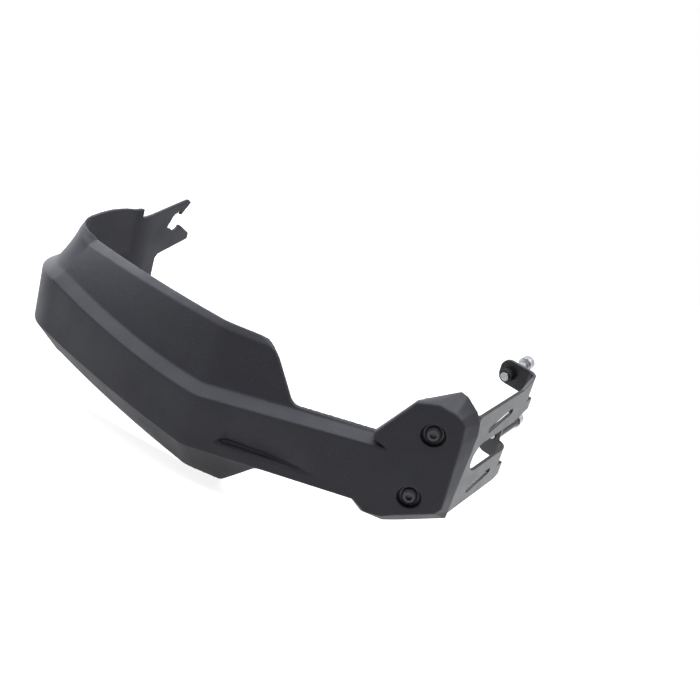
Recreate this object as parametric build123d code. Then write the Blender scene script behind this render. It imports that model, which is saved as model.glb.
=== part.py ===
from build123d import *
import os
from math import atan2, cos, degrees, hypot, radians, sin, tan

os.makedirs("parts", exist_ok=True)

# Working frame: origin on the lower block screw, +X inboard, -Y forward, +Z up along the screws.
# The pieces are written out with the origin moved onto the upper clamp bolt.
# A plan heading is in degrees from -X (outboard), turning towards +Y (the rider).

# Wall of the moulded shell
WALL = 3.0

# Screws that hold the block to the bracket, their washers, sleeves and weld nuts
SCREW_PITCH = 46.0
SCREW_D = 6.0
SCREW_LENGTH = 20.0
SCREW_HEAD_D = 10.5
SCREW_HEAD_H = 3.0
SCREW_CROWN = 1.7
SOCKET_AF = 4.0
SOCKET_DEPTH = 1.8
HOLE_CLEARANCE = 0.4
THREAD_CLEARANCE = 0.1
SEAT_CLEARANCE = 0.1
WASHER_D = 12.5
WASHER_T = 1.0
SLEEVE_D = 9.0
NUT_AF = 10.0
NUT_H = 5.0

# Mounting block
FACE_Y = -5.0
BLOCK_DEPTH = 15.0
FACE_EDGE_R = 2.0
BLOCK_FLOOR = 3.5
BLOCK_RIM = 3.5
RECESS_D = 15.5
RECESS_DEPTH = 4.5
BOSS_WALL = 2.5
BOSS_TAIL_D = 15.0
RIB_T = 2.0
RIB_SETBACK = 2.0

# Outlines of the block's front face and rear rim, as (x, z), both from the outboard top clockwise
BLOCK_FRONT = [
    (-16.5, 64.2),
    (-4.0, 66.2),
    (7.5, 64.0),
    (12.0, 61.9),
    (15.3, 58.8),
    (17.3, 46.0),
    (21.2, 0.2),
    (17.9, -4.6),
    (-4.2, -15.3),
    (-12.6, -20.0),
    (-23.0, -21.2),
    (-32.7, -15.2),
    (-33.3, 36.2),
]
BLOCK_REAR = [
    (-15.5, 58.3),
    (7.3, 73.8),
    (12.0, 72.3),
    (20.8, 64.8),
    (25.0, 58.0),
    (26.7, 50.0),
    (27.4, -6.0),
    (27.8, -13.5),
    (-2.0, -28.2),
    (-10.0, -31.6),
    (-25.3, -30.9),
    (-33.5, -24.8),
    (-34.0, 29.0),
]

# Arm between the block and the crease
ARM_INNER_X = -18.0
ARM_ROOT_X = -33.5
LEDGE_Z_ARM = 25.5
LEDGE_RISE_ARM = 5.0
LINE_Z_ARM = -15.0
SLIVER_H = 1.5
LOWER_WEB = 11.0
LOWER_WEB_DROP = 0.6
CREASE_X = -148.0
CREASE_Y = 3.0
CREASE_R = 60.0
LEDGE_END = (-19.5, 26.3)
LEDGE_BACKING = 2.5

# Groove in the lower part of the arm
GROOVE_X = -119.5
GROOVE_TOP_Z = -8.7
GROOVE_DEEP_Z = -15.0
GROOVE_LOW_Z = -20.0
GROOVE_DEPTH = 2.4
GROOVE_BACKING = 2.5
GROOVE_OUTER_TIP = (-129.5, -15.9)
GROOVE_INNER_TIP = (-58.0, -10.0)

# Panel: heights and set-backs at the crease and at the outer corner
PANEL_HEADING = 15.0
PANEL_LENGTH = 131.0
CORNER_HEADING = 25.0
LEDGE_Z_CREASE = 10.0
LEDGE_Z_CORNER = 29.0
LEDGE_RISE = 6.5
LEDGE_DEPTH = 8.5
LINE_Z_CREASE = -27.5
LINE_Z_CORNER = -10.0
LINE_STEP = 0.9
RIM_Z = 57.5
RIM_Z_CORNER = 63.5
RIM_Z_BOW = 0.8
RIM_Z_RETURN = 66.4
RIM_END = (144.3, 67.4)
LEDGE_BOW = 1.5
BOTTOM_Z_CREASE = -53.0
BOTTOM_Z_CORNER = -31.0
BOTTOM_SETBACK = 17.0
RIM_SETBACK = 8.0
RIM_BACK_CREASE = 21.0
RIM_BACK_CORNER = 31.5
RIM_BACK_RETURN = 11.0
RIM_BOW = 1.8
BEVEL_DROP = 4.2
BEVEL_SHARE = 0.72
STEP_RAIL = 5

# Ends of the two deflectors on the arm side
UPPER_END_X = -88.0
UPPER_CORNER_X = -112.0
UPPER_CORNER_Z = 56.0
LOWER_END_X = -98.0
LOWER_CORNER_X = -121.0
UPPER_END_R = 8.0
UPPER_CORNER_R = 26.0
LOWER_END_R = 8.0
LOWER_CORNER_R = 8.0

# Outer corner and the plate that runs back to the bar end
CORNER_R = 38.0
CORNER_END_HEADING = 128.0
RETURN_LENGTH = 42.0
RETURN_ARCH = 2.8
RETURN_BOTTOM_Z = -24.0
BEND_BACK_R = 40.0
HOOK_HEADING = 103.0
HOOK_LENGTH = 56.0

# Bar-end hook, as (y, z) in the side view
HOOK_NOTCH = (187.0, 51.0)
HOOK_NOTCH_R = 7.5
V_NOTCH = (144.3, 60.0)
PRONG_TIP = (199.0, 69.0)
PRONG_NOSE = (203.0, 66.0)
PRONG_HEEL = (194.0, 58.0)
LOW_PRONG_TOP = (195.6, 46.4)
LOW_PRONG_NOSE = (209.0, 38.0)
LOW_PRONG_END = (208.5, 32.5)
LOW_PRONG_ROOT = (171.0, 25.4)
TOOTH = 2.4
TOOTH_TILT = -30.0

# Folded steel bracket
SHEET = 2.0
BASE_OUTER_X = -14.0
BASE_BEND_X = 20.5
BEND_R = 3.0
FLANGE_BEND_R = 5.0
LEG_TURN = 28.0
LEG_RISE = 9.5
UPPER_LEG_LOW = 34.0
UPPER_LEG_TOP = 60.5
UPPER_LEG_LENGTH = 76.5
UPPER_FLANGE_TOP = 66.0
UPPER_FLANGE_H = 18.0
UPPER_FLANGE_W = 27.5
LOWER_LEG_LOW = -15.8
LOWER_LEG_TOP = 11.7
LOWER_LEG_LENGTH = 65.5
LOWER_FLANGE_TOP = 22.0
LOWER_FLANGE_H = 24.5
LOWER_FLANGE_W = 21.5
LEG_CORNER = 5.0
FLANGE_CORNER_R = 7.0
RELIEF = 0.3
BASE_CORNER_R = 6.0
GAP_ROOT = 15.0
GAP_ROOT_R = 10.0
SLOT_W = 5.0
SLOT_LENGTH = 27.0
SLOT_TILT = 10.8
UPPER_SLOT = (38.8, 45.0)
LOWER_SLOT = (35.5, -3.8)

# Silver clamp bolts with their boss, spacer and washers
CLAMP_BOLT_D = 6.0
CLAMP_HEAD_D = 10.0
CLAMP_HEAD_H = 5.0
CLAMP_WASHER_D = 12.0
CLAMP_WASHER_T = 1.4
CLAMP_SHANK_OUT = 20.0
BOSS_D = 9.5
BOSS_LENGTH = 4.0
TIP_PROUD = 1.0
SPACER_D = 10.0
SPACER_LENGTH = 26.0
CLAMP_SOCKET_AF = 5.0
THREAD_CHAMFER = 0.6

# Clamp bolt centres on their flanges, as (distance outboard, height across the leg)
UPPER_BOLT = (20.5, 55.5)
LOWER_BOLT = (13.0, 14.0)


def inward(heading):
    """Plan unit vector square to a heading, towards the inside of the guard."""
    return Vector(sin(radians(heading)), cos(radians(heading)), 0)


def onward(heading):
    """Plan unit vector along a heading."""
    return Vector(-cos(radians(heading)), sin(radians(heading)), 0)


def turn(point, start, end, radius):
    """End of an arc that turns from one heading to another; a negative radius turns outwards."""
    return point + inward(start) * radius - inward(end) * radius


def mix(a, b, t):
    return a + (b - a) * t


ARM_HEADING = degrees(atan2(CREASE_Y - FACE_Y, ARM_ROOT_X - CREASE_X))
CREASE_TURN = PANEL_HEADING - ARM_HEADING
CREASE_TANGENT = CREASE_R * tan(radians(CREASE_TURN / 2))


def arm_point(x):
    """Point of the arm's front face in plan: level with the block's face, then back to the crease."""
    if x > ARM_ROOT_X:
        return Vector(x, FACE_Y, 0)
    return Vector(CREASE_X, CREASE_Y, 0) - onward(ARM_HEADING) * ((x - CREASE_X) / cos(radians(ARM_HEADING)))


def along_arm(x, at_root, at_crease):
    return mix(at_root, at_crease, (ARM_ROOT_X - x) / (ARM_ROOT_X - CREASE_X))


def offset_line(points, distance, closed=False):
    """Offset a polyline, given as pairs, to its left-hand side as seen with the first axis up."""
    pairs = list(zip(points, points[1:] + points[:1])) if closed else list(zip(points, points[1:]))
    normals = []
    for a, b in pairs:
        length = hypot(b[0] - a[0], b[1] - a[1])
        normals.append((-(b[1] - a[1]) / length, (b[0] - a[0]) / length))
    result = []
    for i, p in enumerate(points):
        before = normals[i - 1] if closed or i > 0 else normals[0]
        after = normals[i] if i < len(normals) else normals[-1]
        scale = distance / (1 + before[0] * after[0] + before[1] * after[1])
        result.append((p[0] + (before[0] + after[0]) * scale, p[1] + (before[1] + after[1]) * scale))
    return result


def section(base, heading, rails):
    """Closed thin-walled section in the plane square to a heading, from the rim down."""
    square = inward(heading)
    outer = [base + square * back + Vector(0, 0, z) for back, z in rails]
    carried = [rail for i, rail in enumerate(rails) if i != STEP_RAIL]
    inner = [base + square * back + Vector(0, 0, z) for back, z in offset_line(carried, WALL)]
    return Wire.make_polygon(outer + inner[::-1], close=True)


def rails(ledge_z, line_z, rim_back, rim_z, bottom_z, ledge_rise=LEDGE_RISE):
    """Corners of the full section as (set-back, z), from the rim down to the bottom edge."""
    return [
        (rim_back, rim_z),
        (mix(RIM_SETBACK, rim_back, BEVEL_SHARE), rim_z - BEVEL_DROP),
        (LEDGE_DEPTH, ledge_z + ledge_rise),
        (0.0, ledge_z),
        (0.0, line_z),
        (LINE_STEP, line_z - LINE_STEP),
        (BOTTOM_SETBACK, bottom_z),
    ]


def arm_section(x, heading):
    """Full section carried along the straight arm; the outline is trimmed afterwards."""
    ledge_z = along_arm(x, LEDGE_Z_ARM, LEDGE_Z_CREASE)
    line_z = along_arm(x, LINE_Z_ARM, LINE_Z_CREASE)
    rise = along_arm(x, LEDGE_RISE_ARM, LEDGE_RISE)
    return section(arm_point(x), heading, rails(ledge_z, line_z, RIM_BACK_CREASE, RIM_Z, BOTTOM_Z_CREASE, rise))


def crease_start():
    """Where the arm's front face runs into the rounded crease."""
    return arm_point(CREASE_X) - onward(ARM_HEADING) * CREASE_TANGENT


def crease_end():
    """Where the rounded crease runs out into the panel."""
    return turn(crease_start(), ARM_HEADING, PANEL_HEADING, CREASE_R)


def panel_rails(t, ledge_z, rim_back):
    """Section of the panel at a share of its length."""
    line_z = mix(LINE_Z_CREASE, LINE_Z_CORNER, t)
    return rails(ledge_z, line_z, rim_back, RIM_Z, mix(BOTTOM_Z_CREASE, BOTTOM_Z_CORNER, t))


def outline_cut(corners, radii, far_z):
    """Body that trims the arm's outline above or below a line with rounded corners."""
    outer_x = corners[-1][0]
    inner_x = corners[0][0]
    sketch = make_face(Polyline(*corners, (outer_x, far_z), (inner_x, far_z), close=True))
    for corner, radius in zip(corners[1:-1], radii):
        vertex = sketch.vertices().sort_by_distance((corner[0], corner[1], 0))[0]
        sketch = fillet(vertex, radius)
    front = Plane(origin=(0, FACE_Y - WALL, 0), x_dir=(1, 0, 0), z_dir=(0, -1, 0))
    return extrude(front * sketch, -2 * (RIM_BACK_CREASE + WALL))


def arm_lip():
    """Inward flange along the bottom of the arm."""
    wires = []
    square = inward(ARM_HEADING)
    corners = [
        (LINE_STEP, 0.0),
        (LOWER_WEB, -LOWER_WEB_DROP),
        (LOWER_WEB, WALL - LOWER_WEB_DROP),
        (LINE_STEP, WALL),
    ]
    for x in (ARM_ROOT_X, LOWER_CORNER_X):
        base_z = along_arm(x, LINE_Z_ARM, LINE_Z_CREASE) - LINE_STEP
        points = [arm_point(x) + square * back + Vector(0, 0, base_z + z) for back, z in corners]
        wires.append(Wire.make_polygon(points, close=True))
    return Solid.make_loft(wires, ruled=True)


def arm():
    """Arm and the arm-side ends of both deflectors, up to the crease."""
    root = arm_section(ARM_ROOT_X, ARM_HEADING / 2)
    far = arm_section(crease_start().X, ARM_HEADING)
    body = Solid.make_loft([arm_section(ARM_INNER_X, 0.0), root, far], ruled=True)
    root_top = along_arm(ARM_INNER_X, LEDGE_Z_ARM, LEDGE_Z_CREASE) + LEDGE_RISE_ARM + SLIVER_H / 2
    end_rise = along_arm(UPPER_END_X, LEDGE_RISE_ARM, LEDGE_RISE)
    end_top = along_arm(UPPER_END_X, LEDGE_Z_ARM, LEDGE_Z_CREASE) + end_rise + SLIVER_H
    top = [
        (ARM_INNER_X + WALL, root_top),
        (UPPER_END_X, end_top),
        (UPPER_CORNER_X, UPPER_CORNER_Z),
        (CREASE_X - WALL, RIM_Z + WALL),
    ]
    body -= outline_cut(top, (UPPER_END_R, UPPER_CORNER_R), 2 * RIM_Z)
    root_low = along_arm(ARM_INNER_X, LINE_Z_ARM, LINE_Z_CREASE) - LINE_STEP
    end_low = along_arm(LOWER_END_X, LINE_Z_ARM, LINE_Z_CREASE) - LINE_STEP
    low = [
        (ARM_INNER_X + WALL, root_low),
        (LOWER_END_X, end_low),
        (LOWER_CORNER_X, BOTTOM_Z_CREASE),
        (CREASE_X - WALL, BOTTOM_Z_CREASE - WALL),
    ]
    body -= outline_cut(low, (LOWER_END_R, LOWER_CORNER_R), 2 * BOTTOM_Z_CREASE)
    return body + arm_lip()


def panel():
    """Curved panel, outer corner, return wall and the plate of the bar-end hook."""
    start = crease_end()
    radius = PANEL_LENGTH / radians(CORNER_HEADING - PANEL_HEADING)
    wires = [arm_section(crease_start().X, ARM_HEADING)]
    for t in (0.5, 1.0):
        heading = mix(ARM_HEADING, PANEL_HEADING, t)
        place = turn(crease_start(), ARM_HEADING, heading, CREASE_R)
        wires.append(section(place, heading, panel_rails(0.0, LEDGE_Z_CREASE, RIM_BACK_CREASE)))
    body = Solid.make_loft(wires)
    wires = [wires[-1]]
    for t in (0.25, 0.5, 0.75, 1.0):
        heading = mix(PANEL_HEADING, CORNER_HEADING, t)
        ledge_z = mix(LEDGE_Z_CREASE, LEDGE_Z_CORNER, t ** LEDGE_BOW)
        rail = panel_rails(t, ledge_z, mix(RIM_BACK_CREASE, RIM_BACK_CORNER, t))
        wires.append(section(turn(start, PANEL_HEADING, heading, radius), heading, rail))
    body += Solid.make_loft(wires)
    corner = turn(start, PANEL_HEADING, CORNER_HEADING, radius)
    wires = [wires[-1]]
    for t in (0.2, 0.4, 0.6, 0.8, 1.0):
        heading = mix(CORNER_HEADING, CORNER_END_HEADING, t)
        rim_back = mix(RIM_BACK_CORNER, RIM_BACK_RETURN, t ** RIM_BOW)
        rim_z = mix(RIM_Z, RIM_Z_CORNER, t ** RIM_Z_BOW)
        rail = rails(LEDGE_Z_CORNER, LINE_Z_CORNER, rim_back, rim_z, BOTTOM_Z_CORNER)
        wires.append(section(turn(corner, CORNER_HEADING, heading, CORNER_R), heading, rail))
    body += Solid.make_loft(wires)
    back = turn(corner, CORNER_HEADING, CORNER_END_HEADING, CORNER_R)
    straight = back + onward(CORNER_END_HEADING) * RETURN_LENGTH
    full = rails(LEDGE_Z_CORNER, LINE_Z_CORNER, RIM_BACK_RETURN, RIM_Z_RETURN, RETURN_BOTTOM_Z)
    flat = [(0.0, z) for set_back, z in full]
    wires = [wires[-1]]
    for t in (0.25, 0.5, 0.75, 1.0):
        between = [(mix(a[0], 0.0, t), mix(a[1], b[1], t)) for a, b in zip(rail, full)]
        arch = RETURN_ARCH * 4 * t * (1 - t)
        between[:2] = [(set_back, z + arch) for set_back, z in between[:2]]
        wires.append(section(mix(back, straight, t), CORNER_END_HEADING, between))
    body += Solid.make_loft(wires)
    flat[0] = (0.0, PRONG_TIP[1] + WALL)
    wires = []
    for t in (0.0, 0.5, 1.0):
        heading = mix(CORNER_END_HEADING, HOOK_HEADING, t)
        wires.append(section(turn(straight, CORNER_END_HEADING, heading, -BEND_BACK_R), heading, flat))
    body += Solid.make_loft(wires)
    end = turn(straight, CORNER_END_HEADING, HOOK_HEADING, -BEND_BACK_R) + onward(HOOK_HEADING) * HOOK_LENGTH
    body += Solid.make_loft([wires[-1], section(end, HOOK_HEADING, flat)], ruled=True)
    return body - hook_cut()


def hook_cut():
    """All that the bar-end hook leaves open behind the return wall, drawn in the side view."""
    root_y, root_z = LOW_PRONG_ROOT
    low = BOTTOM_Z_CREASE
    keep = make_face(
        Polyline(
            (RIM_END[0] - 2 * WALL, RIM_Z_RETURN),
            RIM_END,
            V_NOTCH,
            PRONG_TIP,
            PRONG_NOSE,
            PRONG_HEEL,
            HOOK_NOTCH,
            LOW_PRONG_TOP,
            LOW_PRONG_NOSE,
            LOW_PRONG_END,
            (root_y, root_z),
            (root_y - WALL, root_z - WALL),
            (root_y - WALL, low),
            (RIM_END[0] - 2 * WALL, low),
            close=True,
        )
    )
    notch_y, notch_z = HOOK_NOTCH
    keep -= Pos(notch_y, notch_z) * Circle(HOOK_NOTCH_R)
    tilt = Rot(0, 0, TOOTH_TILT)
    keep -= Pos(notch_y - HOOK_NOTCH_R, notch_z - TOOTH) * tilt * Rectangle(2 * TOOTH, 2 * TOOTH)
    keep -= Pos(notch_y + TOOTH, notch_z + HOOK_NOTCH_R) * tilt * Rectangle(2 * TOOTH, TOOTH)
    span = HOOK_LENGTH + RETURN_LENGTH
    field = Pos(RIM_END[0] - 2 * WALL + span / 2, 0) * Rectangle(span, 4 * abs(low))
    side = Plane(origin=(arm_point(CREASE_X).X, 0, 0), x_dir=(0, 1, 0), z_dir=(1, 0, 0))
    return extrude(side * (field - keep), -2 * PANEL_LENGTH)


def block_wires(inset, front_y, rear_y):
    """Rings of the drafted block, drawn in by a wall, at two depths."""
    wires = []
    for y in (front_y, rear_y):
        t = (y - FACE_Y) / BLOCK_DEPTH
        ring = [(mix(a[0], b[0], t), mix(a[1], b[1], t)) for a, b in zip(BLOCK_FRONT, BLOCK_REAR)]
        ring = offset_line(ring, -inset, closed=True)
        wires.append(Wire.make_polygon([Vector(x, y, z) for x, z in ring], close=True))
    return wires


def along_y(z, y):
    """Plane across a block screw, with its normal towards the rider."""
    return Plane(origin=(0, y, z), x_dir=(1, 0, 0), z_dir=(0, 1, 0))


def block():
    """Mounting block: drafted box, open behind, with a stepped boss round each screw."""
    rear_y = FACE_Y + BLOCK_DEPTH
    outer = Solid.make_loft(block_wires(0.0, FACE_Y, rear_y), ruled=True)
    face = outer.faces().sort_by(Axis.Y)[0]
    rounded = face.edges().sort_by(Axis.X)[1:]
    outer = fillet(rounded, FACE_EDGE_R)
    pocket = Solid.make_loft(block_wires(BLOCK_RIM, FACE_Y + BLOCK_FLOOR, rear_y), ruled=True)
    inside = ledge_end(LEDGE_BACKING)
    recess_end = FACE_Y + RECESS_DEPTH
    boss_y = FACE_Y + BLOCK_FLOOR / 2
    boss_end = recess_end + BOSS_WALL
    rib_y = FACE_Y + BLOCK_FLOOR / 2
    rib_depth = rear_y - RIB_SETBACK - rib_y
    inside += Pos(0, rib_y + rib_depth / 2, SCREW_PITCH / 2) * Box(RIB_T, rib_depth, 2 * SCREW_PITCH)
    for z in (0.0, SCREW_PITCH):
        inside += Pos(0, rib_y + rib_depth / 2, z) * Box(2 * SCREW_PITCH, rib_depth, RIB_T)
        inside += extrude(along_y(z, boss_y) * Circle(RECESS_D / 2 + BOSS_WALL), boss_end - boss_y)
        inside += extrude(along_y(z, recess_end) * Circle(BOSS_TAIL_D / 2), rear_y - recess_end)
    return (outer - pocket) + (inside & outer)


def ledge_end(grow):
    """Pyramid in front of the ledge, from the block's outboard wall to a tip on its face."""
    low = LEDGE_Z_ARM - grow
    high = LEDGE_Z_ARM + LEDGE_RISE_ARM + grow
    back = LEDGE_DEPTH + grow
    run_out = WALL * LEDGE_RISE_ARM / LEDGE_DEPTH
    corners = [(-WALL, low - run_out), (back, high - 2 * grow), (back, high), (-WALL, high)]
    if grow == 0:
        corners.pop(2)
    base = [Vector(ARM_ROOT_X - 1, FACE_Y + y, z) for y, z in corners]
    tip_x, tip_z = LEDGE_END
    tip = Vector(tip_x + 2 * grow, FACE_Y + grow / 2, tip_z)
    return Solid.make_loft([Wire.make_polygon(base, close=True), Vertex(tip)], ruled=True)


def screw_holes():
    """Recess and sleeve bore at each block screw."""
    cuts = []
    for z in (0.0, SCREW_PITCH):
        cuts.append(extrude(along_y(z, FACE_Y - 2 * WALL) * Circle(RECESS_D / 2), RECESS_DEPTH + 2 * WALL))
        cuts.append(extrude(along_y(z, FACE_Y) * Circle(SLEEVE_D / 2 + SEAT_CLEARANCE), 2 * BLOCK_DEPTH))
    return cuts


def groove(grow, depth):
    """Long three-sided spindle on the arm's face, deepest near its outer end."""
    square = inward(ARM_HEADING)
    middle = arm_point(GROOVE_X)
    corners = [(-WALL, GROOVE_TOP_Z + grow), (depth, GROOVE_DEEP_Z), (-WALL, GROOVE_LOW_Z - grow)]
    base = Wire.make_polygon([middle + square * y + Vector(0, 0, z) for y, z in corners], close=True)
    body = None
    for x, z in (GROOVE_OUTER_TIP, GROOVE_INNER_TIP):
        tip = Vertex(arm_point(x) + Vector(0, 0, z))
        half = Solid.make_loft([base, tip], ruled=True)
        body = half if body is None else body + half
    return body


def groove_front():
    """Slab in front of the arm's face, so the groove's backing stays behind it."""
    middle = arm_point(GROOVE_X)
    plane = Plane(origin=middle, x_dir=onward(ARM_HEADING), z_dir=-inward(ARM_HEADING))
    return extrude(plane * Rectangle(2 * PANEL_LENGTH, PANEL_LENGTH), PANEL_LENGTH / 2)


def guard_shell():
    """The one moulding: block, arm, deflectors, panel, outer corner and bar-end hook."""
    body = arm() + panel() + block()
    body += groove(GROOVE_BACKING, GROOVE_DEPTH + GROOVE_BACKING) - groove_front()
    body -= groove(0.0, GROOVE_DEPTH)
    body -= ledge_end(0.0)
    for cut in screw_holes():
        body -= cut
    return body


def hex_hole(af, depth, plane):
    """Hexagonal prism of a width across flats."""
    return extrude(plane * RegularPolygon(af / 2, 6, major_radius=False), depth)


def block_screw(z):
    """Button-head socket screw along +Y, seated on its washer in the recess."""
    seat = FACE_Y + RECESS_DEPTH - WASHER_T
    shank = extrude(along_y(z, seat) * Circle(SCREW_D / 2), SCREW_LENGTH)
    head = extrude(along_y(z, seat) * Circle(SCREW_HEAD_D / 2), -SCREW_HEAD_H)
    front = head.faces().sort_by(Axis.Y)[0]
    head = chamfer(front.edges(), SCREW_CROWN)
    socket = hex_hole(SOCKET_AF, SOCKET_DEPTH, along_y(z, seat - SCREW_HEAD_H))
    return chamfer(shank.faces().sort_by(Axis.Y)[-1].edges(), THREAD_CHAMFER) + head - socket


def ring(plane, outer_d, inner_d, length):
    return extrude(plane * (Circle(outer_d / 2) - Circle(inner_d / 2)), length)


def leg_plane():
    """Plane of the bracket's inboard leg faces: x along a leg, y up across it, z inboard."""
    flat = Vector(sin(radians(LEG_TURN)), cos(radians(LEG_TURN)), 0)
    along = flat * cos(radians(LEG_RISE)) + Vector(0, 0, sin(radians(LEG_RISE)))
    normal = Vector(cos(radians(LEG_TURN)), -sin(radians(LEG_TURN)), 0)
    return Plane(origin=leg_root(), x_dir=along, z_dir=normal)


def bend_centre():
    return Vector(BASE_BEND_X, FACE_Y + BLOCK_DEPTH + SHEET + BEND_R, 0)


def leg_root():
    """Where the bend runs out into the legs, on their inboard face."""
    return bend_centre() + Vector(cos(radians(LEG_TURN)), -sin(radians(LEG_TURN)), 0) * (BEND_R + SHEET)


def leg_sheet():
    """Both legs as one flat blank with the gap between them and a long slot in each."""
    rise = radians(LEG_RISE)
    turn_in = SHEET + FLANGE_BEND_R
    upper_end = UPPER_LEG_LENGTH - turn_in
    lower_end = LOWER_LEG_LENGTH - turn_in
    upper_tab = UPPER_FLANGE_TOP - UPPER_FLANGE_H
    lower_tab = LOWER_FLANGE_TOP - LOWER_FLANGE_H
    blank = make_face(
        Polyline(
            (LOWER_LEG_LOW * sin(rise) / cos(rise), LOWER_LEG_LOW),
            (LOWER_LEG_LENGTH - LEG_CORNER, LOWER_LEG_LOW),
            (LOWER_LEG_LENGTH, LOWER_LEG_LOW + LEG_CORNER / 2),
            (LOWER_LEG_LENGTH, lower_tab - RELIEF),
            (lower_end, lower_tab - RELIEF),
            (lower_end, LOWER_LEG_TOP),
            (GAP_ROOT, LOWER_LEG_TOP),
            (GAP_ROOT, UPPER_LEG_LOW),
            (UPPER_LEG_LENGTH - 3 * LEG_CORNER, UPPER_LEG_LOW),
            (UPPER_LEG_LENGTH, UPPER_LEG_LOW + LEG_CORNER),
            (UPPER_LEG_LENGTH, upper_tab - RELIEF),
            (upper_end, upper_tab - RELIEF),
            (upper_end, UPPER_FLANGE_TOP),
            (upper_end - 2 * LEG_CORNER, UPPER_LEG_TOP),
            (UPPER_LEG_TOP * sin(rise) / cos(rise), UPPER_LEG_TOP),
            close=True,
        )
    )
    root = blank.vertices().sort_by_distance((GAP_ROOT, (UPPER_LEG_LOW + LOWER_LEG_TOP) / 2, 0))[:2]
    blank = fillet(root, GAP_ROOT_R)
    for centre in (UPPER_SLOT, LOWER_SLOT):
        blank -= Pos(*centre) * Rot(0, 0, SLOT_TILT) * SlotOverall(SLOT_LENGTH, SLOT_W)
    return extrude(leg_plane() * blank, -SHEET)


def flange(length, low, bend_top, top, width, bolt):
    """Tab bent square to the outboard side at a leg's end, with its bolt hole."""
    plane = leg_plane()
    turn_in = SHEET + FLANGE_BEND_R
    middle = plane.from_local_coords(Vector(length - turn_in, low, -turn_in))
    level = Plane(origin=middle, x_dir=plane.x_dir, z_dir=plane.y_dir)
    quarter = trace(CenterArc((0, 0), FLANGE_BEND_R + SHEET / 2, 0, -90), SHEET)
    bend = extrude(level * quarter, bend_top - low)
    face = Plane(origin=plane.from_local_coords(Vector(length, 0, 0)), x_dir=plane.y_dir, z_dir=plane.x_dir)
    tab = Pos((top + low) / 2, -(width + turn_in) / 2) * Rectangle(top - low, width - turn_in)
    tab = fillet(tab.vertices().sort_by(Axis.Y)[:2], FLANGE_CORNER_R)
    tab -= Pos(bolt[1], -bolt[0]) * Circle(CLAMP_BOLT_D / 2 + HOLE_CLEARANCE / 2)
    return bend, extrude(face * tab, -SHEET)


def clamp_bracket():
    """Folded sheet: base plate behind the block, one bend, two legs and their flanges."""
    rise = cos(radians(LEG_RISE))
    low = LOWER_LEG_LOW / rise
    top = UPPER_LEG_TOP / rise
    rear_y = FACE_Y + BLOCK_DEPTH
    height = top - low
    middle_x = (BASE_OUTER_X + BASE_BEND_X) / 2
    base = Pos(middle_x, rear_y + SHEET / 2, (top + low) / 2) * Box(BASE_BEND_X - BASE_OUTER_X, SHEET, height)
    corners = base.edges().filter_by(Axis.Y).group_by(Axis.X)[0]
    base = fillet(corners, BASE_CORNER_R)
    for z in (0.0, SCREW_PITCH):
        base -= extrude(along_y(z, rear_y - 1) * Circle(SCREW_D / 2 + HOLE_CLEARANCE / 2), SHEET + 2)
    middle = bend_centre()
    band = trace(CenterArc((0, 0), BEND_R + SHEET / 2, -90, 90 - LEG_TURN), SHEET)
    bend = extrude(Plane(origin=(middle.X, middle.Y, low)) * band, height)
    low_v = UPPER_FLANGE_TOP - UPPER_FLANGE_H
    upper = flange(UPPER_LEG_LENGTH, low_v, UPPER_FLANGE_TOP, UPPER_FLANGE_TOP, UPPER_FLANGE_W, UPPER_BOLT)
    low_v = LOWER_FLANGE_TOP - LOWER_FLANGE_H
    lower = flange(LOWER_LEG_LENGTH, low_v, LOWER_LEG_TOP, LOWER_FLANGE_TOP, LOWER_FLANGE_W, LOWER_BOLT)
    sheet = base + bend + leg_sheet()
    for piece in upper + lower:
        sheet += piece
    return sheet


def bolt_plane(length, bolt):
    """Plane on a flange's outer face at its bolt, with its normal along the leg."""
    plane = leg_plane()
    origin = plane.from_local_coords(Vector(length, bolt[1], -bolt[0]))
    return Plane(origin=origin, x_dir=plane.y_dir, z_dir=plane.x_dir)


def clamp_bolt(plane, seat, tip):
    """Silver hex-socket bolt: head beyond the seat, shank back to the tip."""
    shank = extrude(plane.offset(tip) * Circle(CLAMP_BOLT_D / 2), seat - tip)
    head = extrude(plane.offset(seat) * Circle(CLAMP_HEAD_D / 2), CLAMP_HEAD_H)
    return shank + head - hex_hole(CLAMP_SOCKET_AF, -CLAMP_HEAD_H / 2, plane.offset(seat + CLAMP_HEAD_H))


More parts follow.
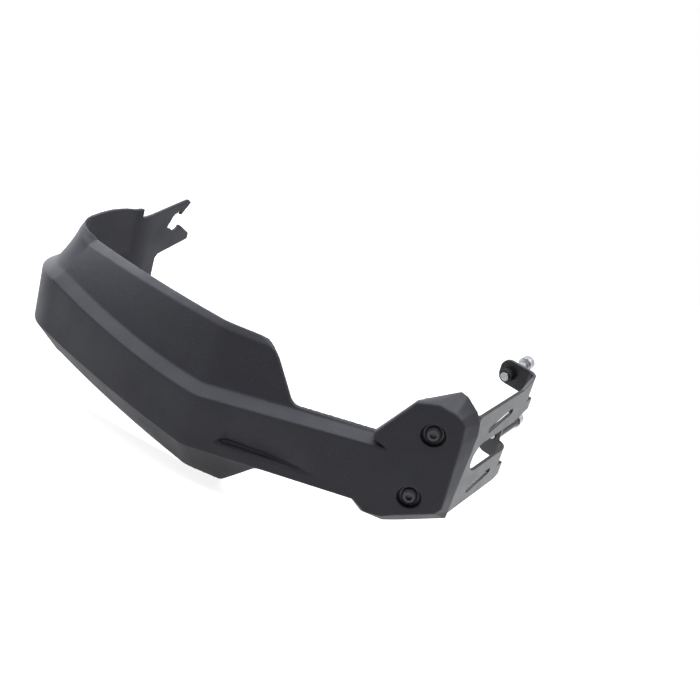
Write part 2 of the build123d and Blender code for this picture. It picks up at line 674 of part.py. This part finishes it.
def build():
    """Every piece by its node name."""
    pieces = {}
    pieces["guard_shell"] = guard_shell()
    pieces["clamp_bracket"] = clamp_bracket()
    rear_y = FACE_Y + BLOCK_DEPTH
    floor_y = FACE_Y + RECESS_DEPTH
    screw_bore = SCREW_D + HOLE_CLEARANCE
    for name, z in (("lower", 0.0), ("upper", SCREW_PITCH)):
        washer = ring(along_y(z, floor_y - WASHER_T), WASHER_D, screw_bore, WASHER_T)
        sleeve = ring(along_y(z, floor_y), SLEEVE_D, screw_bore, rear_y - floor_y)
        nut = hex_hole(NUT_AF, NUT_H, along_y(z, rear_y + SHEET))
        nut -= extrude(along_y(z, rear_y) * Circle(SCREW_D / 2 + THREAD_CLEARANCE), SHEET + 2 * NUT_H)
        pieces["block_screw_" + name] = block_screw(z)
        pieces["block_washer_" + name] = washer
        pieces["block_sleeve_" + name] = sleeve
        pieces["weld_nut_" + name] = nut
    threaded_bore = CLAMP_BOLT_D + 2 * THREAD_CLEARANCE
    upper = bolt_plane(UPPER_LEG_LENGTH, UPPER_BOLT)
    lower = bolt_plane(LOWER_LEG_LENGTH, LOWER_BOLT)
    upper_tip = -SHEET - BOSS_LENGTH - TIP_PROUD
    pieces["clamp_bolt_upper"] = clamp_bolt(upper, CLAMP_SHANK_OUT, upper_tip)
    pieces["clamp_boss_upper"] = ring(upper.offset(-SHEET - BOSS_LENGTH), BOSS_D, threaded_bore, BOSS_LENGTH)
    lower_seat = SPACER_LENGTH + CLAMP_WASHER_T
    washer_bore = CLAMP_BOLT_D + HOLE_CLEARANCE
    pieces["clamp_bolt_lower"] = clamp_bolt(lower, lower_seat, -SHEET - TIP_PROUD)
    pieces["clamp_washer_lower"] = ring(lower.offset(SPACER_LENGTH), CLAMP_WASHER_D, washer_bore, CLAMP_WASHER_T)
    pieces["clamp_spacer_lower"] = ring(lower, SPACER_D, threaded_bore, SPACER_LENGTH)
    return pieces


def row_origin():
    """Middle of the free shank of the upper clamp bolt, where the guard is held."""
    plane = bolt_plane(UPPER_LEG_LENGTH, UPPER_BOLT)
    return plane.origin + plane.z_dir * (CLAMP_SHANK_OUT / 2)


if __name__ == "__main__":
    held = row_origin()
    for name, piece in build().items():
        export_step(Pos(-held.X, -held.Y, -held.Z) * piece, "parts/" + name + ".step")
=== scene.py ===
import bpy
from math import cos, radians, sin
from mathutils import Matrix, Vector


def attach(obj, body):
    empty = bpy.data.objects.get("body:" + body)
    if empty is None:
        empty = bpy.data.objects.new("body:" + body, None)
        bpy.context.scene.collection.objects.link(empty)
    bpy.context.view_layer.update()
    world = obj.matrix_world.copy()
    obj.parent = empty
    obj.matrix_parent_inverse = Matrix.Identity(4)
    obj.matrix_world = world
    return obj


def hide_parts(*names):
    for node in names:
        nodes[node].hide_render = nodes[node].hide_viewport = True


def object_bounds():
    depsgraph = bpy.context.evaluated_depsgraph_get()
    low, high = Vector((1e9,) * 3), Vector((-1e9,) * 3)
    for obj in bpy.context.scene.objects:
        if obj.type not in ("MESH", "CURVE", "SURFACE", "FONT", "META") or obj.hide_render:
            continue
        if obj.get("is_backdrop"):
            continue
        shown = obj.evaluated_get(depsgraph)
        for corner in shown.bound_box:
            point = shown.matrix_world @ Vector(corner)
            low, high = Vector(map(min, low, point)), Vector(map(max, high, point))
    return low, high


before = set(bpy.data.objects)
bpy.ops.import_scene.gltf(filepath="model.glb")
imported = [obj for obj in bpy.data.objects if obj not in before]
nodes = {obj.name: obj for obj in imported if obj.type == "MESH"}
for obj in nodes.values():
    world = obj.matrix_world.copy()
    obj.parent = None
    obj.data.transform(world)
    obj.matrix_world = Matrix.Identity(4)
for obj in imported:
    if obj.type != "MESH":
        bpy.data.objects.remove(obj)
cad_low, cad_high = (list(corner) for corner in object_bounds())

# Lengths are in metres. The moulding is remeshed in small cubes, smoothed and thinned out.
SHELL_VOXEL = 0.0005
SHELL_SMOOTHING = 0.5
SHELL_SMOOTHING_ROUNDS = 8
SHELL_FACES_KEPT = 0.15

# The groove low on the arm: points (x, z) of its middle line, from the outer end to the inner one
GROOVE_OUTER = (-0.1721, -0.0849)
GROOVE_DEEPEST = (-0.1621, -0.0820)
GROOVE_INNER = (-0.1006, -0.0790)
GROOVE_DEPTH = 0.0036
GROOVE_END_HALF_HEIGHT = 0.0012
GROOVE_RISE = 0.0036
GROOVE_DROP = 0.0030
GROOVE_REAR_SPARE = 0.0016
GROOVE_FULL_DEPTH_REACHED = 1.8
GROOVE_ROUNDNESS = 0.7
FACES_FORWARD = -0.2

FLOOR_CENTRE = (-0.15, 0.02)
FLOOR_RADIUS = 1.0
FLOOR_STEP_DEGREES = 5
FLOOR_GAP = 0.0004
PAPER_GREY = (0.5, 0.5, 0.5, 1)
PAPER_GLOW = 2.45
PAPER_GLOW_SHARE = 0.35

COOL_WHITE = (0.93, 0.95, 1.0)
WORLD_FILL = 0.1
WORLD_WHITE = 1.0
LAMP_SIZE = 1.0
LAMP_TARGET = (-0.13, -0.02, -0.05)


def srgb(code):
    """A colour written as six hex digits, as linear values."""
    parts = [int(code[i:i + 2], 16) / 255 for i in (0, 2, 4)]
    linear = [p / 12.92 if p <= 0.04045 else ((p + 0.055) / 1.055) ** 2.4 for p in parts]
    return (*linear, 1)


class Finish:
    """A Principled material, with its nodes made one at a time."""

    def __init__(self, name):
        self.material = bpy.data.materials.new(name)
        self.material.use_nodes = True
        self.tree = self.material.node_tree
        self.shader = self.tree.nodes["Principled BSDF"]
        self.place = self.node("ShaderNodeTexCoord").outputs["Object"]

    def node(self, kind, **settings):
        made = self.tree.nodes.new(kind)
        for key, value in settings.items():
            setattr(made, key, value)
        return made

    def link(self, source, target):
        self.tree.links.new(source, target)

    def noise(self, scale, detail, stretch=None):
        """Noise over the piece, in features of about 1/scale metres."""
        place = self.place
        if stretch:
            mapping = self.node("ShaderNodeMapping")
            mapping.inputs["Scale"].default_value = stretch
            self.link(place, mapping.inputs["Vector"])
            place = mapping.outputs["Vector"]
        made = self.node("ShaderNodeTexNoise")
        made.inputs["Scale"].default_value = scale
        made.inputs["Detail"].default_value = detail
        self.link(place, made.inputs["Vector"])
        return made.outputs["Fac"]

    def spread(self, value, low, high, start=0.3, end=0.7):
        """Value between start and end, spread between low and high."""
        made = self.node("ShaderNodeMapRange")
        ends = {"From Min": start, "From Max": end, "To Min": low, "To Max": high}
        for key, number in ends.items():
            made.inputs[key].default_value = number
        self.link(value, made.inputs["Value"])
        return made.outputs["Result"]

    def colours(self, value, first, second, start=0.3, end=0.7):
        """A ramp between two colours, over the value between start and end."""
        made = self.node("ShaderNodeValToRGB")
        for stop, place, colour in zip(made.color_ramp.elements, (start, end), (first, second)):
            stop.position = place
            stop.color = srgb(colour)
        self.link(value, made.inputs["Fac"])
        return made.outputs["Color"]

    def cover(self, share, under, colour):
        """A colour laid over another one by a share socket."""
        made = self.node("ShaderNodeMix", data_type="RGBA")
        self.link(share, made.inputs["Factor"])
        colour_a, colour_b = made.inputs[6], made.inputs[7]
        self.link(under, colour_a)
        colour_b.default_value = srgb(colour)
        return made.outputs[2]

    def math(self, operation, *values):
        made = self.node("ShaderNodeMath", operation=operation)
        made.use_clamp = operation == "MULTIPLY"
        for socket, value in zip(made.inputs, values):
            if isinstance(value, float):
                socket.default_value = value
            else:
                self.link(value, socket)
        return made.outputs["Value"]

    def edges(self, radius, start=0.02, end=0.25):
        """1 on the piece's edges and 0 on its faces; it carries rubbed wear, painted edge
        highlights and painted edge shade.
        """
        bevel = self.node("ShaderNodeBevel", samples=6)
        bevel.inputs["Radius"].default_value = radius
        face = self.node("ShaderNodeNewGeometry")
        dot = self.node("ShaderNodeVectorMath", operation="DOT_PRODUCT")
        self.link(bevel.outputs["Normal"], dot.inputs[0])
        self.link(face.outputs["Normal"], dot.inputs[1])
        turned = self.math("SUBTRACT", 1.0, dot.outputs["Value"])
        return self.spread(turned, 0.0, 1.0, start, end)

    def soften(self, radius):
        """Shade the piece as if its edges were rounded to this radius."""
        bevel = self.node("ShaderNodeBevel", samples=8)
        bevel.inputs["Radius"].default_value = radius
        self.normal = bevel.outputs["Normal"]

    def bump(self, height, depth, strength):
        """Bumps of this depth, over what soften and earlier bumps made."""
        made = self.node("ShaderNodeBump")
        made.inputs["Distance"].default_value = depth
        made.inputs["Strength"].default_value = strength
        self.link(height, made.inputs["Height"])
        self.link(self.normal, made.inputs["Normal"])
        self.normal = made.outputs["Normal"]
        self.link(self.normal, self.shader.inputs["Normal"])

    def set(self, **values):
        for key, value in values.items():
            socket = self.shader.inputs[key.replace("_", " ")]
            if isinstance(value, float):
                socket.default_value = value
            else:
                self.link(value, socket)


def moulded_plastic():
    """Black nylon with a fine spark-eroded grain, faint flow marks, and edges painted lighter and
    glossier in patches: a painted edge highlight along with rubbed wear.
    """
    f = Finish("moulded_black_plastic")
    flow = f.noise(scale=14, detail=3, stretch=(1, 1, 2.2))
    body = f.colours(flow, "18181d", "202027")
    specks = f.spread(f.noise(scale=900, detail=1), 0, 1, start=0.62, end=0.7)
    body = f.cover(f.math("MULTIPLY", specks, 0.25), body, "3a3b3f")
    patches = f.spread(f.noise(scale=70, detail=4), 0, 1, start=0.45, end=0.7)
    # Edges lighter and glossier in patches: a painted edge highlight along with rubbed wear
    edge_sheen_and_wear = f.math("MULTIPLY", f.edges(radius=0.0012), patches)
    body = f.cover(f.math("MULTIPLY", edge_sheen_and_wear, 0.35), body, "5a5b5e")
    rough = f.spread(f.noise(scale=45, detail=3), 0.5, 0.6)
    rough = f.math("SUBTRACT", rough, f.math("MULTIPLY", edge_sheen_and_wear, 0.1))
    f.set(Base_Color=body, Roughness=rough, Metallic=0.0, Specular_IOR_Level=0.3)
    f.soften(radius=0.0014)
    f.bump(f.noise(scale=22, detail=1), depth=0.0012, strength=0.25)
    f.bump(f.noise(scale=2600, detail=2), depth=0.00012, strength=0.35)
    return f.material


def coated_sheet():
    """Black powder coat on folded steel: orange peel, and cut edges painted darker as shade, made
    matt where the coat beads.
    """
    f = Finish("powder_coated_sheet")
    body = f.colours(f.noise(scale=30, detail=3), "1e1e20", "29292b")
    # Cut edges painted near black as shade, and made matt as the coat's bead there
    edge_shade_and_bead = f.edges(radius=0.0011, start=0.01, end=0.12)
    body = f.cover(edge_shade_and_bead, body, "0b0b0c")
    patches = f.spread(f.noise(scale=260, detail=4), 0, 1, start=0.66, end=0.72)
    chips = f.math("MULTIPLY", f.edges(radius=0.0004), patches)
    body = f.cover(chips, body, "707275")
    rough = f.spread(f.noise(scale=90, detail=3), 0.24, 0.34)
    rough = f.math("ADD", rough, f.math("MULTIPLY", edge_shade_and_bead, 0.45))
    f.set(Base_Color=body, Roughness=rough, Metallic=0.0)
    f.soften(radius=0.0006)
    f.bump(f.noise(scale=750, detail=2), depth=0.00016, strength=0.4)
    return f.material


def black_steel():
    """Blackened screws and washers, oily, with a faint lighter ring at the edges: a painted edge
    highlight along with wear.
    """
    f = Finish("blackened_steel")
    body = f.colours(f.noise(scale=160, detail=3), "2c2c2f", "3c3c41")
    patches = f.spread(f.noise(scale=420, detail=3), 0, 1, start=0.4, end=0.62)
    # Edges painted lighter in patches: a painted edge highlight along with wear
    edge_sheen_and_wear = f.math("MULTIPLY", f.edges(radius=0.0005), patches)
    body = f.cover(f.math("MULTIPLY", edge_sheen_and_wear, 0.3), body, "6d6e72")
    rough = f.spread(f.noise(scale=300, detail=3), 0.28, 0.42)
    f.set(Base_Color=body, Roughness=rough, Metallic=0.3)
    f.soften(radius=0.0004)
    f.bump(f.noise(scale=1400, detail=2), depth=0.00006, strength=0.35)
    return f.material


def zinc():
    """Dull zinc plating with its faint crystals and stains."""
    f = Finish("zinc_plated_steel")
    body = f.colours(f.noise(scale=220, detail=4), "8f9296", "b4b6ba")
    stains = f.spread(f.noise(scale=60, detail=3), 0, 0.5, start=0.5, end=0.75)
    body = f.cover(stains, body, "7c7a6e")
    rough = f.spread(f.noise(scale=180, detail=3), 0.3, 0.5)
    f.set(Base_Color=body, Roughness=rough, Metallic=0.9)
    f.soften(radius=0.0004)
    f.bump(f.noise(scale=900, detail=3), depth=0.00008, strength=0.4)
    return f.material


def bright():
    """Bright turned steel with light handling marks."""
    f = Finish("bright_turned_steel")
    body = f.colours(f.noise(scale=300, detail=3), "9b9da1", "cbcdd1")
    rough = f.spread(f.noise(scale=500, detail=3), 0.16, 0.32)
    f.set(Base_Color=body, Roughness=rough, Metallic=1.0)
    f.soften(radius=0.0003)
    f.bump(f.noise(scale=1200, detail=2), depth=0.00002, strength=0.2)
    return f.material


finishes = {
    "black_plastic": moulded_plastic(),
    "black_sheet": coated_sheet(),
    "black_steel": black_steel(),
    "zinc_steel": zinc(),
    "bright_steel": bright(),
}
for node in nodes.values():
    for place in node.material_slots:
        place.material = finishes[place.material.name.split(".")[0]]


def bake(piece):
    """Put the mesh that the piece's modifiers give in the place of its own."""
    depsgraph = bpy.context.evaluated_depsgraph_get()
    mesh = bpy.data.meshes.new_from_object(piece.evaluated_get(depsgraph))
    piece.modifiers.clear()
    piece.data = mesh


def moulded_shell():
    """The guard's moulding with every edge rounded as its tool leaves it."""
    piece = bpy.data.objects.new("moulded_shell", nodes["guard_shell"].data.copy())
    bpy.context.scene.collection.objects.link(piece)
    remesh = piece.modifiers.new("remesh", "REMESH")
    remesh.mode = "VOXEL"
    remesh.voxel_size = SHELL_VOXEL
    smooth = piece.modifiers.new("smooth", "SMOOTH")
    smooth.factor = SHELL_SMOOTHING
    smooth.iterations = SHELL_SMOOTHING_ROUNDS
    fewer = piece.modifiers.new("fewer", "DECIMATE")
    fewer.ratio = SHELL_FACES_KEPT
    bake(piece)
    for polygon in piece.data.polygons:
        polygon.use_smooth = True
    piece.data.materials.clear()
    piece.data.materials.append(finishes["black_plastic"])
    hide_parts("guard_shell")
    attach(piece, "root")
    return piece


def sink_groove(mesh):
    """Draw the groove low on the arm deeper, so that its floor lies in shade."""
    outer_x, outer_z = GROOVE_OUTER
    deepest_x, deepest_z = GROOVE_DEEPEST
    inner_x, inner_z = GROOVE_INNER
    # All normals are read first, because Blender makes them anew after each change
    front = [vertex.normal.y < FACES_FORWARD for vertex in mesh.vertices]
    for vertex in mesh.vertices:
        x, _, z = vertex.co
        if not outer_x < x < inner_x:
            continue
        if x < deepest_x:
            share = (x - outer_x) / (deepest_x - outer_x)
            middle_z = outer_z + share * (deepest_z - outer_z)
        else:
            share = (inner_x - x) / (inner_x - deepest_x)
            middle_z = inner_z + share * (deepest_z - inner_z)
        # The wall's rear moves over a taller strip, so that the wall stays thick enough
        spare = 0.0 if front[vertex.index] else GROOVE_REAR_SPARE
        above = (z - middle_z) / (GROOVE_END_HALF_HEIGHT + GROOVE_RISE * share + spare)
        below = (middle_z - z) / (GROOVE_END_HALF_HEIGHT + GROOVE_DROP * share + spare)
        across = max(0.0, 1 - max(above, below))
        along = min(1.0, share * GROOVE_FULL_DEPTH_REACHED)
        vertex.co.y += GROOVE_DEPTH * along * across ** GROOVE_ROUNDNESS


sink_groove(moulded_shell().data)


def mix_by_ray(tree, output_kind, plain, special, rays, share=1.0):
    """Show the second shader in this share to the rays named, and the first one to the rest."""
    path = tree.nodes.new("ShaderNodeLightPath")
    flag = path.outputs[rays[0]]
    for ray in rays[1:]:
        either = tree.nodes.new("ShaderNodeMath")
        either.operation = "MAXIMUM"
        tree.links.new(flag, either.inputs[0])
        tree.links.new(path.outputs[ray], either.inputs[1])
        flag = either.outputs["Value"]
    factor = tree.nodes.new("ShaderNodeMath")
    factor.operation = "MULTIPLY"
    factor.inputs[1].default_value = share
    tree.links.new(flag, factor.inputs[0])
    both = tree.nodes.new("ShaderNodeMixShader")
    tree.links.new(factor.outputs["Value"], both.inputs["Fac"])
    tree.links.new(plain.outputs[0], both.inputs[1])
    tree.links.new(special.outputs[0], both.inputs[2])
    output = tree.nodes.new(output_kind)
    tree.links.new(both.outputs["Shader"], output.inputs["Surface"])


# Stage: a wide pale disc just under the lowest point, white where it is seen or mirrored
level = cad_low[2] - FLOOR_GAP
rim = []
for degrees in range(0, 360, FLOOR_STEP_DEGREES):
    turn = radians(degrees)
    rim.append((FLOOR_CENTRE[0] + FLOOR_RADIUS * cos(turn),
                FLOOR_CENTRE[1] + FLOOR_RADIUS * sin(turn), level))
floor_mesh = bpy.data.meshes.new("floor")
floor_mesh.from_pydata(rim, [], [tuple(range(len(rim)))])
floor = bpy.data.objects.new("floor", floor_mesh)
bpy.context.scene.collection.objects.link(floor)
paper = bpy.data.materials.new("pale_paper")
paper.use_nodes = True
tree = paper.node_tree
tree.nodes.clear()
matt = tree.nodes.new("ShaderNodeBsdfDiffuse")
matt.inputs["Color"].default_value = PAPER_GREY
shine = tree.nodes.new("ShaderNodeEmission")
shine.inputs["Strength"].default_value = PAPER_GLOW
mix_by_ray(tree, "ShaderNodeOutputMaterial", matt, shine,
           ("Is Camera Ray", "Is Glossy Ray"), PAPER_GLOW_SHARE)
floor_mesh.materials.append(paper)
floor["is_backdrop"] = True

# World: white where it is seen or mirrored, and a weak cool fill as a light
world = bpy.data.worlds.new("studio")
bpy.context.scene.world = world
world.use_nodes = True
tree = world.node_tree
tree.nodes.clear()
fill = tree.nodes.new("ShaderNodeBackground")
fill.inputs["Color"].default_value = (*COOL_WHITE, 1)
fill.inputs["Strength"].default_value = WORLD_FILL
white = tree.nodes.new("ShaderNodeBackground")
white.inputs["Color"].default_value = (1, 1, 1, 1)
white.inputs["Strength"].default_value = WORLD_WHITE
mix_by_ray(tree, "ShaderNodeOutputWorld", fill, white,
           ("Is Camera Ray", "Is Transmission Ray", "Is Glossy Ray"))


def softbox(name, place, watts):
    """A square area lamp that looks at the guard's middle."""
    data = bpy.data.lights.new(name, "AREA")
    data.shape = "SQUARE"
    data.size = LAMP_SIZE
    data.energy = watts
    data.color = COOL_WHITE
    lamp = bpy.data.objects.new(name, data)
    lamp.location = place
    lamp.rotation_mode = "QUATERNION"
    lamp.rotation_quaternion = (Vector(LAMP_TARGET) - Vector(place)).to_track_quat("-Z", "Y")
    bpy.context.scene.collection.objects.link(lamp)


softbox("softbox_top", (-0.1, 0.1, 1.6), watts=20)
softbox("softbox_top_left", (-1.1, 0.2, 1.1), watts=25)
softbox("softbox_top_right", (0.7, 0.1, 1.5), watts=27)
softbox("softbox_left", (-1.2, 1.0, 0.4), watts=13)
softbox("softbox_low_left", (-1.8, 0.1, -0.25), watts=20)

# The photograph's camera, by its place and the directions of its picture
eye = (-0.07277, -0.55307, 0.20930)
right = (0.936575, 0.1945, 0.291541)
up = (-0.344006, 0.351206, 0.870812)
back = (0.066982, -0.915873, 0.39584)
camera_data = bpy.data.cameras.new("photo_camera")
camera_data.sensor_width = 36
camera_data.lens = 43.85
camera_data.clip_start = 0.01
camera = bpy.data.objects.new("photo_camera", camera_data)
camera.matrix_world = Matrix((*zip(right, up, back, eye), (0, 0, 0, 1)))
bpy.context.scene.collection.objects.link(camera)
bpy.context.scene.camera = camera
bpy.context.scene.view_settings.view_transform = "Standard"
